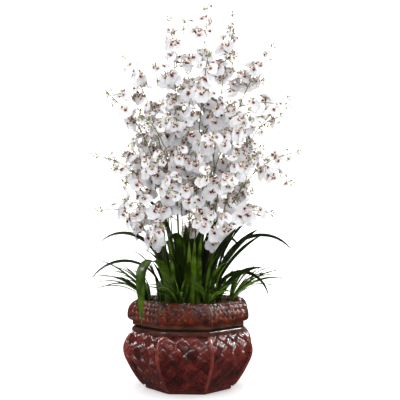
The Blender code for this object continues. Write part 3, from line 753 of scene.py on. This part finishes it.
def make_bulbs():
    for number in (1, 2):
        node = f"pseudobulb_{number}"
        low, high = (np.array(corner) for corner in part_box(node))
        points = corners_of(node)
        centre = (low + high) / 2
        out, aside = out_and_aside(math.atan2(centre[1], centre[0]))
        across = -aside
        wide = np.abs((points - centre) @ across).max()
        deep = np.abs((points - centre) @ out).max()
        tall = (high[2] - low[2]) / 2
        rings = []
        for share in np.linspace(0.03, 0.97, 16):
            level = -math.cos(math.pi * share)
            girth = math.sqrt(1 - level**2) * (1 - 0.26 * level)
            ring = []
            for i in range(28):
                turn = i * math.tau / 28
                ridge = 1 + 0.035 * math.cos(7 * turn)
                ring.append(
                    centre
                    + across * (math.cos(turn) * wide * girth * ridge)
                    + out * (math.sin(turn) * deep * girth * ridge)
                    + UP * (level * tall)
                )
            rings.append(ring)
        work = Work()
        work.add_solid(rings, 0.5)
        work.make(f"ribbed_bulb_{number}", [FINISHES["bulb"]], "pseudobulb", node)


# ---------------------------------------------------------------- leaves and grass

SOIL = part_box("moss_cover")[1].z + 0.3 * MM

# Each strap leaf, as in the frame: azimuth and distance of its base, the azimuth it leans to, its length, its
# lean from upright at its base and at its tip (held at straight down), how late it bends, its width, and its
# twist by its tip.
LEAVES = [
    (232, 0.056, 190, 0.262, 0, 75, 3.0, 0.018, 50),
    (187, 0.058, 182, 0.255, -4, 140, 1.7, 0.015, 45),
    (204, 0.066, 192, 0.222, -12, 148, 0.95, 0.012, 40),
    (236, 0.081, 238, 0.262, -3, 400, 1.9, 0.025, 0),
    (252, 0.050, 250, 0.200, 0, 150, 3.6, 0.026, 0),
    (291, 0.044, 290, 0.170, 0, 30, 1.6, 0.028, 0),
    (286, 0.066, 345, 0.185, 14, 40, 1.0, 0.022, 55),
    (317, 0.077, 322, 0.150, 26, 88, 1.2, 0.014, 30),
    (314, 0.056, 350, 0.200, 16, 60, 1.4, 0.020, 50),
    (334, 0.066, 334, 0.185, -10, 170, 1.0, 0.016, 45),
    (346, 0.050, 350, 0.195, 12, 62, 1.0, 0.014, 40),
    (0, 0.060, 2, 0.280, -2, 150, 1.5, 0.014, 45),
    (11, 0.050, 10, 0.235, 8, 62, 1.6, 0.015, 40),
    (37, 0.050, 18, 0.280, 4, 116, 2.2, 0.016, 30),
    (62, 0.058, 60, 0.275, 8, 130, 1.4, 0.022, 0),
    (86, 0.050, 88, 0.215, 6, 60, 1.6, 0.025, 0),
    (115, 0.058, 108, 0.265, 6, 135, 1.4, 0.022, 0),
    (138, 0.058, 135, 0.185, 6, 50, 1.3, 0.020, 20),
    (263, 0.035, 262, 0.172, 0, 22, 2.0, 0.022, 0),
    (320, 0.034, 330, 0.190, 2, 34, 2.0, 0.022, 20),
]
LEAF_STEPS = 40
INNER_LEAVES = 34

# Each grass tuft, as in the frame: azimuth and distance of its crown, how wide it spreads, and the size of
# its blades. Each blade: turn from the tuft's azimuth in a tuft of full spread, length, lean at base and tip.
TUFTS = [(192, 0.084, 0.9, 1), (356, 0.086, 0.9, 1), (258, 0.086, 0.8, 0.72), (294, 0.086, 0.75, 0.7)]
BLADES = [
    (-66, 0.10, 16, 70),
    (-44, 0.14, 26, 95),
    (-22, 0.16, 34, 108),
    (0, 0.11, 12, 62),
    (20, 0.155, 36, 112),
    (40, 0.135, 24, 90),
    (58, 0.09, 14, 60),
]


def leaning_path(base, azimuth, length, lean_start, lean_end, bend, steps):
    """Points of a blade that leans more and more from upright, and no further than straight down."""
    shares = (np.arange(steps) + 0.5) / steps
    leans = np.radians(np.minimum(180, lean_start + (lean_end - lean_start) * shares**bend))
    step = (UP * np.cos(leans)[:, None] + heading(azimuth) * np.sin(leans)[:, None]) * (length / steps)
    return np.concatenate([[base], base + np.cumsum(step, 0)])


def blade_rings(points, side, halves, roll, twist, channel, thick, wave=0.0, phase=0.0):
    """Thin sections along a blade: a channelled upper face, a keeled lower face and fine edges."""
    tangents, sides, _ = frames_along(points, side)
    share = np.linspace(0, 1, len(points))
    turn = np.radians(roll + twist * share)[:, None]
    sides = sides * np.cos(turn) + np.cross(sides, tangents) * np.sin(turn)
    ups = np.cross(sides, tangents)
    a = np.linspace(-1, 1, 7)
    half = np.asarray(halves)[:, None]
    lift = channel * half * np.abs(a) ** 1.4
    ripple = wave * half * a * np.abs(a) * np.sin(phase + share * 21)[:, None]
    top = points[:, None] + sides[:, None] * (half * a)[..., None] + ups[:, None] * (lift + ripple)[..., None]
    body = thick * (1 - 0.4 * share)[:, None] * (1 - 0.9 * np.abs(a[1:-1]) ** 1.5)
    low = top[:, 1:-1] - ups[:, None] * (body + 0.12 * MM)[..., None]
    return np.concatenate([top, low[:, ::-1]], 1)


def leaf_width(share):
    swell = 0.52 + 0.48 * np.sin(np.minimum(1, share / 0.42) * math.pi / 2)
    return swell * np.maximum(0.03, 1 - np.maximum(0, (share - 0.5) / 0.5) ** 2.2)


def make_leaves():
    rng = random.Random(8)
    share = np.linspace(0, 1, LEAF_STEPS + 1)
    for number, spec in enumerate(LEAVES, 1):
        azimuth, distance, leans_to, length, lean_start, lean_end, bend, width, twist = spec
        base = heading(azimuth) * distance + UP * (SOIL - 2 * MM)
        points = leaning_path(base, leans_to, length, lean_start, lean_end, bend, LEAF_STEPS)
        halves = width * (0.86 if twist >= 40 else 1.04) * leaf_width(share) / 2
        side = np.cross(heading(leans_to), UP)
        roll = 14 if twist else 0
        rings = blade_rings(points, side, halves, roll, twist, 0.32, 1.1 * MM, 0.03, rng.uniform(0, 6))
        tone = 0.65 if number == 4 else rng.uniform(0.1, 0.55)
        work = Work()
        work.add_solid(rings, tone)
        work.make(f"leaf_blade_{number:02d}", [FINISHES["leaf"]], "leaf", f"strap_leaf_{number:02d}")


def make_inner_leaves():
    """The younger leaves that fill the front of the clump."""
    rng = random.Random(14)
    share = np.linspace(0, 1, LEAF_STEPS + 1)
    work = Work()
    for order in range(INNER_LEAVES):
        azimuth = 196 + 148 * (order + rng.uniform(-0.4, 0.4)) / (INNER_LEAVES - 1)
        distance = rng.uniform(0.030, 0.082)
        length = rng.uniform(0.085, 0.175)
        base = heading(azimuth) * distance + UP * (SOIL - 2 * MM)
        end = rng.uniform(12, 75)
        to = azimuth + rng.uniform(-14, 14)
        points = leaning_path(base, to, length, rng.uniform(0, 12), end, 1.6, LEAF_STEPS)
        halves = rng.uniform(8, 14) * MM * leaf_width(share) / 2
        side = np.cross(heading(azimuth), UP)
        rings = blade_rings(points, side, halves, rng.uniform(-30, 30), rng.uniform(-30, 30), 0.3, 0.9 * MM)
        work.add_solid(rings, rng.uniform(0.15, 0.95))
    work.make("inner_leaf_blades", [FINISHES["leaf"]], "leaf")


def make_grass():
    rng = random.Random(21)
    steps = 16
    share = np.linspace(0, 1, steps + 1)
    for number, (azimuth, distance, spread, size) in enumerate(TUFTS, 1):
        work = Work()
        crown = heading(azimuth) * distance + UP * (SOIL - 1 * MM)
        for turn, length, lean_start, lean_end in BLADES:
            for copy in range(4):
                to = azimuth + turn * spread + (rng.uniform(-16, 16) if copy else 0)
                reach = length * size * (rng.uniform(0.55, 1.02) if copy else 1)
                lean = lean_start + (rng.uniform(-12, 8) if copy else 0)
                end = lean_end + (rng.uniform(-30, 14) if copy else 0)
                base = crown + heading(to) * rng.uniform(3, 7) * MM
                points = leaning_path(base, to, reach, lean, end, 1.1, steps)
                wide = 6.0 * MM * (rng.uniform(0.7, 1.0) if copy else 1)
                halves = wide / 2 * (0.5 + 0.5 * np.minimum(1, share / 0.4)) * (1 - 0.92 * share**3)
                side = np.cross(heading(to), UP)
                rings = blade_rings(points, side, halves, 20, rng.uniform(-25, 45), 0.4, 0.5 * MM)
                work.add_solid(rings, rng.uniform(0.2, 0.95))
        work.make(f"grass_blades_{number}", [FINISHES["grass"]], "grass", f"grass_tuft_{number}")


# ---------------------------------------------------------------- flowers

LIP, SEPAL, HEART, STEM, BUD = range(5)
SPIKES = 18
PATTERNS = 9
CROWN_AXIS = np.array((20 * MM, 0, 0))
# In the frame each flower is a square cup and each stem ends in a small square.
CUP_SIDE = 14 * MM
TIP_SIDE = 2 * MM
NODE_REACH = 5 * MM
# How thick a stem is drawn, as a share of its stand-in, and the least half-thickness.
STEM_SHARE = 0.9
THINNEST_STEM = 0.75 * MM
# Petals and sepals: the way each points, in degrees from the top, and its length and width in millimetres.
PETALS = ((0, 12, 6.0), (60, 13, 6.8), (-60, 13, 6.8), (122, 12, 4.8), (-122, 12, 4.8))
LIP_SPREAD = math.radians(112)
PETAL_THICKNESS = 0.3 * MM
STALK_RADII = np.array((0.55, 0.5, 0.5, 0.55, 0.9)) * MM
# Where a bud's sections are along it, and how thick it is at each.
BUD_LINE = np.array((0.0, 0.15, 0.4, 0.7, 0.92, 1.0))
BUD_GIRTH = np.array((0.3, 0.8, 1.0, 0.8, 0.4, 0.1))


def petal_rings(angle, length, width, cup, rng, rows=5):
    """A small petal out from the flower's heart: a thin closed sheet that widens, then rounds off."""
    out = np.array((math.sin(angle), math.cos(angle), 0.0))
    aside = np.array((out[1], -out[0], 0.0))
    share = np.linspace(0, 1, rows)
    half = width / 2 * np.sin(np.clip(0.14 + share * 0.82, 0, 1) * math.pi) ** 0.75
    back = cup * length * share**2
    sway = rng.uniform(-0.12, 0.12) * length * share**2
    rings = []
    for s, h, b, w in zip(share, half, back, sway):
        mid = out * (1.2 * MM + s * length) + aside * w - UP * b
        top = [mid + aside * (h * a) + UP * (abs(a) * h * 0.25) for a in (-1, 0, 1)]
        rings.append([*top, *[p - UP * PETAL_THICKNESS for p in reversed(top)]])
    return np.array(rings)


def lip_rings(rng, width, drop):
    """The lip: a wide two-lobed skirt below the heart, with a ruffled edge."""
    ruffle, phase, curl = rng.uniform(0.8, 1.5) * MM, rng.uniform(0, 6), rng.uniform(-3, 5) * MM
    rings = []
    for turn in np.linspace(-LIP_SPREAD, LIP_SPREAD, 17):
        side = abs(turn) / LIP_SPREAD
        lobe = 0.80 + 0.24 * math.sin(min(1, side / 0.42) * math.pi / 2)
        reach = drop * lobe * (1 - 0.62 * max(0, side - 0.5) ** 1.3)
        spread = width / (2 * drop) * 1.02
        out = np.array((math.sin(turn) * spread, -math.cos(turn), 0.0))
        top = []
        for s in (0.10, 0.34, 0.58, 0.8, 0.93, 1.0):
            dome = 2.0 * MM * math.sin(s * 2.6) * (1 - side)
            lift = ruffle * s**3 * math.sin(turn * 6.5 + phase) - curl * s * s + dome
            point = out * (reach * s) + UP * lift
            point[1] -= 0.5 * MM
            top.append(point)
        rings.append([*top, *[p - UP * PETAL_THICKNESS for p in reversed(top)]])
    return np.array(rings)


def heart_rings(base, tip, girth, around=6):
    """A rounded knob from base to tip."""
    base, tip = np.asarray(base, float), np.asarray(tip, float)
    share = np.array((0.0, 0.2, 0.55, 0.85, 1.0))
    points = base + (tip - base) * share[:, None]
    return round_rings(points, girth * np.array((0.5, 0.95, 1.0, 0.7, 0.2)), around)


def flower_pattern(rng):
    """One open flower facing +Z with its lip towards -Y, as (rings, kind) parts."""
    parts = [(lip_rings(rng, rng.uniform(28, 33) * MM, rng.uniform(20, 24) * MM), LIP)]
    for degrees, length, width in PETALS:
        angle = math.radians(degrees + rng.uniform(-9, 9))
        cup = rng.uniform(-0.1, 0.35) if abs(degrees) < 100 else rng.uniform(0.35, 0.55)
        parts.append((petal_rings(angle, length * rng.uniform(0.9, 1.1) * MM, width * MM, cup, rng), SEPAL))
    parts.append((heart_rings((0, -0.6 * MM, 0.5 * MM), (0, -3.4 * MM, 3.6 * MM), 2.5 * MM), HEART))
    parts.append((heart_rings((0, 0.8 * MM, 0), (0, 1.6 * MM, 4.2 * MM), 1.3 * MM), SEPAL))
    for hand in (-1, 1):
        base, tip = (hand * 1.6 * MM, -1.4 * MM, 0.8 * MM), (hand * 2.9 * MM, -2.6 * MM, 2.2 * MM)
        parts.append((heart_rings(base, tip, 1.0 * MM, 4), HEART))
    return parts


def solid_parts(parts):
    """The parts as (points, faces, kind), wound outwards."""
    made = []
    for rings, kind in parts:
        faces = loft_faces(rings.shape[0], rings.shape[1], False)
        points = rings.reshape(-1, 3)
        if volume(points, faces) < 0:
            faces = faces[:, ::-1]
        made.append((points, faces, kind))
    return made


def is_half_square(lengths, side):
    """Whether a triangle with those sorted sides is half of a square."""
    slack = 0.05 * side
    near = abs(lengths[0] - side) < slack and abs(lengths[1] - side) <= slack
    return near and abs(lengths[2] - side * math.sqrt(2)) <= slack


def sorted_sides(face):
    """The lengths of a face's edges, shortest first."""
    return sorted(edge.calc_length() for edge in face.edges)


def middle_of(corners):
    """The mean place of a set of corners, added up in the order of their numbers."""
    return sum((v.co for v in sorted(corners, key=lambda v: v.index)), Vector()) / len(corners)


def read_spike(node):
    """A spike of the frame: flowers as (root, middle, direction), stem tips as (end, direction) and stems as
    (points, radii).
    """
    bm = bmesh.new()
    bm.from_mesh(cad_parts[node].data)
    bmesh.ops.remove_doubles(bm, verts=bm.verts, dist=0.02 * MM)
    bm.normal_update()
    bm.verts.index_update()
    flowers, tips, gone, seen = [], [], set(), set()
    for face in bm.faces:
        lengths = sorted_sides(face)
        side = next((s for s in (CUP_SIDE, TIP_SIDE) if is_half_square(lengths, s)), None)
        if side is None:
            continue
        longest = max(face.edges, key=lambda e: e.calc_length())
        other = next((f for f in longest.link_faces if f is not face), None)
        if other is None or longest in seen or face.normal.dot(other.normal) < 0.99:
            continue
        seen.add(longest)
        corners = set(face.verts) | set(other.verts)
        middle = middle_of(corners)
        if side == CUP_SIDE:
            around = {e.other_vert(v) for v in corners for e in v.link_edges} - corners
            flowers.append((np.array(middle_of(around)), np.array(middle), np.array(face.normal)))
            gone |= corners
        elif abs(sorted_sides(other)[1] - side) < 0.05 * side:
            tips.append((np.array(middle), np.array(face.normal)))
    bmesh.ops.delete(bm, geom=list(gone), context="VERTS")
    stems = stem_lines(bm)
    bm.free()
    return flowers, tips, stems


def stem_lines(bm):
    """Centre lines and radii of the stems, from the main stem to the last branch.

    The corners of one joint are less than NODE_REACH apart, and joints are linked by longer edges.
    """
    bm.verts.index_update()
    group = list(range(len(bm.verts)))

    def find(i):
        while group[i] != i:
            group[i] = group[group[i]]
            i = group[i]
        return i

    lengths = [(edge.calc_length(), *(v.index for v in edge.verts)) for edge in bm.edges]
    for length, a, b in lengths:
        if length < NODE_REACH:
            group[max(find(a), find(b))] = min(find(a), find(b))
    members, widths, links = {}, {}, {}
    for vert in bm.verts:
        members.setdefault(find(vert.index), []).append(vert.co[:])
    for length, a, b in lengths:
        a, b = find(a), find(b)
        if a == b:
            widths[a] = min(length, widths.get(a, length))
        else:
            links.setdefault(a, {})[b] = length
            links.setdefault(b, {})[a] = length
    middles = {node: np.mean(points, 0) for node, points in members.items()}
    foot = min(middles, key=lambda node: middles[node][2])
    reach, before, waiting = {foot: 0.0}, {}, [foot]
    for node in waiting:
        for near in sorted(links[node]):
            if near not in reach:
                reach[near], before[near] = reach[node] + links[node][near], node
                waiting.append(near)
    ends = sorted((node for node in reach if len(links[node]) == 1 and node != foot), key=lambda n: -reach[n])
    lines, drawn = [], {foot}
    for end in ends:
        line = [end]
        while line[-1] not in drawn:
            line.append(before[line[-1]])
        drawn |= set(line)
        line.reverse()
        radii = [widths[node] / 2 for node in line]
        radii[0] = min(radii[0], 1.2 * radii[1])
        radii = np.maximum(np.array(radii) * STEM_SHARE, THINNEST_STEM)
        lines.append((np.array([middles[node] for node in line]), radii))
    return lines


def add_stem(work, points, radii):
    """A round stem that tapers along a smooth line."""
    count = max(6, round(np.linalg.norm(np.diff(points, axis=0), axis=1).sum() / (6 * MM)))
    line = smooth_line(points, count)
    girth = np.interp(np.linspace(0, 1, count), np.linspace(0, 1, len(radii)), radii)
    work.add_solid(round_rings(line, girth, 8), 0.3, STEM)


def turned_to(facing, down):
    """A rotation that takes +Z to facing and -Y as near as may be to down."""
    facing = unit(facing)
    below = unit(down - facing * np.dot(facing, down))
    return np.stack([np.cross(-below, facing), -below, facing], -1)


def companions(flowers, rng):
    """A second flower behind most of those well inside the crown, on the same stalk's root."""
    share, crown_reach, crown_top = 0.85, 0.165, 0.74
    more = []
    for root, middle, direction in flowers:
        reach = math.hypot(middle[0] - CROWN_AXIS[0], middle[1] - CROWN_AXIS[1])
        if rng.random() > share or reach > crown_reach or middle[2] > crown_top:
            continue
        beside = unit(np.cross(direction, UP)) * rng.choice((-1, 1))
        other = unit(beside + direction * 0.4 + UP * rng.uniform(-0.6, 0.6))
        more.append((root, root + other * rng.uniform(13, 18) * MM, other))
    return more


def add_flower(work, patterns, root, middle, direction, to_tip, rng):
    """An open flower and its stalk. Near the tip of a stem the flowers are smaller."""
    outward = middle - CROWN_AXIS
    outward[2] = 0
    facing = unit(direction * 0.85 + unit(outward) * 0.55 + UP * rng.uniform(-0.2, 0.4))
    roll = math.radians(rng.gauss(0, 50))
    down = -UP * math.cos(roll) + np.cross(facing, UP) * math.sin(roll)
    turn = turned_to(facing, down)
    size = rng.uniform(0.92, 1.1) * np.interp(to_tip, (14 * MM, 45 * MM), (0.62, 1.0))
    tone = rng.random()
    for shape, quads, kind in rng.choice(patterns):
        lays = np.stack([shape[:, 0], shape[:, 1], np.full(len(shape), tone)], -1)
        work.add(middle + (shape * size) @ turn.T, quads, lays, kind)
    back = middle - facing * 1.0 * MM
    sag = (root + back) / 2 - UP * 1.2 * MM
    path = smooth_line([root - direction * 0.9 * MM, sag, back], len(STALK_RADII))
    work.add_solid(round_rings(path, STALK_RADII, 6), 0.75, STEM)


def make_spikes():
    rng = random.Random(77)
    finishes = [FINISHES[name] for name in ("lip", "sepal", "heart", "stem", "bud")]
    patterns = [solid_parts(flower_pattern(rng)) for _ in range(PATTERNS)]
    for number in range(1, SPIKES + 1):
        node = f"flower_spike_{number:02d}"
        flowers, tips, stems = read_spike(node)
        work = Work()
        for points, radii in stems:
            add_stem(work, points, radii)
        ends = np.array([end for end, _ in tips])
        for root, middle, direction in flowers + companions(flowers, rng):
            to_tip = np.linalg.norm(ends - middle, axis=1).min()
            add_flower(work, patterns, root, middle, direction, to_tip, rng)
        for end, direction in tips:
            add_tip(work, end, direction, rng)
        work.make(f"flowers_{number:02d}", finishes, "flower", node)


def add_tip(work, end, direction, rng):
    """The thin end of a stem beyond its last flower, with small buds by turns on either side."""
    bend = unit(direction + UP * rng.uniform(-0.3, 0.35) + heading(rng.uniform(0, 360)) * 0.25)
    length = rng.uniform(12, 22) * MM
    last = end + (direction + bend) * length / 2
    path = smooth_line([end - direction * MM, end + direction * length * 0.4, last], 6)
    work.add_solid(round_rings(path, np.linspace(0.85, 0.5, 6) * MM, 6), 0.6, STEM)
    aside = unit(np.cross(bend, heading(rng.uniform(0, 360)) + UP * 0.2))
    for order, start in enumerate(path[2:]):
        out = unit(aside * (-1) ** order + bend * 0.9) if order < 3 else bend
        base = start + out * rng.uniform(1.5, 3.0) * MM
        size = (5.0 - 0.6 * order) * MM
        work.add_solid(round_rings([start, base], 0.35 * MM, 4), 0.8, STEM)
        bud = base + out * size * 1.5 * BUD_LINE[:, None]
        work.add_solid(round_rings(bud, size * 0.42 * BUD_GIRTH, 6), rng.random(), BUD)


# ---------------------------------------------------------------- studio

# Softboxes: name, place, the point that it faces, width, height and watts.
SOFTBOXES = (
    ("key_softbox", (-1.1, -2.0, 1.9), (0, 0, 0.45), 1.2, 1.2, 9),
    ("fill_softbox", (0.6, -2.4, 0.9), (0, 0, 0.5), 2.0, 1.4, 7),
    ("back_softbox", (0.2, 1.3, 2.2), (0, 0, 0.5), 1.6, 0.8, 7),
    ("backdrop_light", (0, 1.0, 2.6), (0, 3.4, 1.0), 3.0, 0.6, 60),
)
# Small lamps that only draw highlights along lacquered canes and leaves: name, place, width and watts.
GLINTS = (
    ("right_glint", (1.15, 0.30, 1.15), 0.28, 40),
    ("left_glint", (-0.80, -0.30, 1.30), 0.22, 18),
    ("near_glint", (0.65, -0.40, 1.30), 0.22, 18),
    ("front_glint", (-0.75, -1.90, 1.30), 0.30, 6),
)
BASKET_MIDDLE = (0, -0.05, 0.12)
# How bright the white surround is to matt surfaces and, lower, in the gloss of the lacquer.
SURROUND_LEVEL = 0.96
SURROUND_IN_GLOSS = 0.08
CAMERA_PLACE = Vector((0.023, -1.32, 0.317))
CAMERA_AIM = Vector((0.023, 0, 0.398))
CAMERA_LENS = 54.1
# The backdrop lies flat, then turns up in a curve of this radius and rises to its top.
SWEEP_START, SWEEP_RADIUS, BACKDROP_TOP = 2.2, 1.2, 4.5
SWEEP_STEPS = 25


def turned_towards(place, aim):
    """The turn that points a lamp or camera at a place."""
    return (Vector(aim) - Vector(place)).to_track_quat("-Z", "Y").to_euler()


def softbox(name, place, aim, width, height, watts):
    """A rectangular lamp that faces a point."""
    light = bpy.data.lights.new(name, "AREA")
    light.shape = "RECTANGLE"
    light.size = width
    light.size_y = height
    light.energy = watts
    lamp = bpy.data.objects.new(name, light)
    lamp.location = place
    lamp.rotation_euler = turned_towards(place, aim)
    bpy.context.scene.collection.objects.link(lamp)
    return lamp


def make_backdrop():
    """A pale floor that sweeps up behind. Reflections leave it out, so that the lacquer keeps its depth."""
    line = [(-4.0, 0.0)]
    for turn in np.linspace(0, math.pi / 2, SWEEP_STEPS):
        line.append((SWEEP_START + SWEEP_RADIUS * math.sin(turn), SWEEP_RADIUS * (1 - math.cos(turn))))
    line.append((SWEEP_START + SWEEP_RADIUS, BACKDROP_TOP))
    mesh = bpy.data.meshes.new("backdrop")
    points = [(x, y, z) for y, z in line for x in (-5, 5)]
    strips = [(2 * i, 2 * i + 1, 2 * i + 3, 2 * i + 2) for i in range(len(line) - 1)]
    mesh.from_pydata(points, [], strips)
    mesh.polygons.foreach_set("use_smooth", [True] * len(mesh.polygons))
    mesh.materials.append(FINISHES["paper"])
    backdrop = bpy.data.objects.new("backdrop", mesh)
    bpy.context.scene.collection.objects.link(backdrop)
    backdrop.visible_glossy = False


def make_surround():
    """An even white surround."""
    world = bpy.data.worlds.new("white_surround")
    world.use_nodes = True
    tree = world.node_tree
    ray = add(tree, "LightPath")
    level = add(tree, "MapRange", {0: ray["Is Glossy Ray"], 3: SURROUND_LEVEL, 4: SURROUND_IN_GLOSS})[0]
    level = add(tree, "Math", {0: level, 1: ray["Is Camera Ray"]}, operation="MAXIMUM")[0]
    background = tree.nodes["Background"]
    tree.links.new(level, background.inputs["Strength"])
    background.inputs["Color"].default_value = colour("#ffffff")
    bpy.context.scene.world = world


def make_lamps():
    """The softboxes, and the small lamps for the highlights."""
    key, fill, back, behind = SOFTBOXES
    softbox(*key)
    softbox(*fill).visible_glossy = False
    softbox(*back)
    for name, place, width, watts in GLINTS:
        softbox(name, place, BASKET_MIDDLE, width, width, watts).visible_diffuse = False
    softbox(*behind)


def make_camera():
    camera = bpy.data.cameras.new("camera")
    camera.lens = CAMERA_LENS
    camera.sensor_width = 36
    viewer = bpy.data.objects.new("camera", camera)
    viewer.location = CAMERA_PLACE
    viewer.rotation_euler = turned_towards(CAMERA_PLACE, CAMERA_AIM)
    bpy.context.scene.collection.objects.link(viewer)
    bpy.context.scene.camera = viewer
    bpy.context.scene.view_settings.view_transform = "Standard"


make_basket()
make_moss()
make_bulbs()
make_leaves()
make_inner_leaves()
make_grass()
make_spikes()
make_backdrop()
make_surround()
make_lamps()
make_camera()
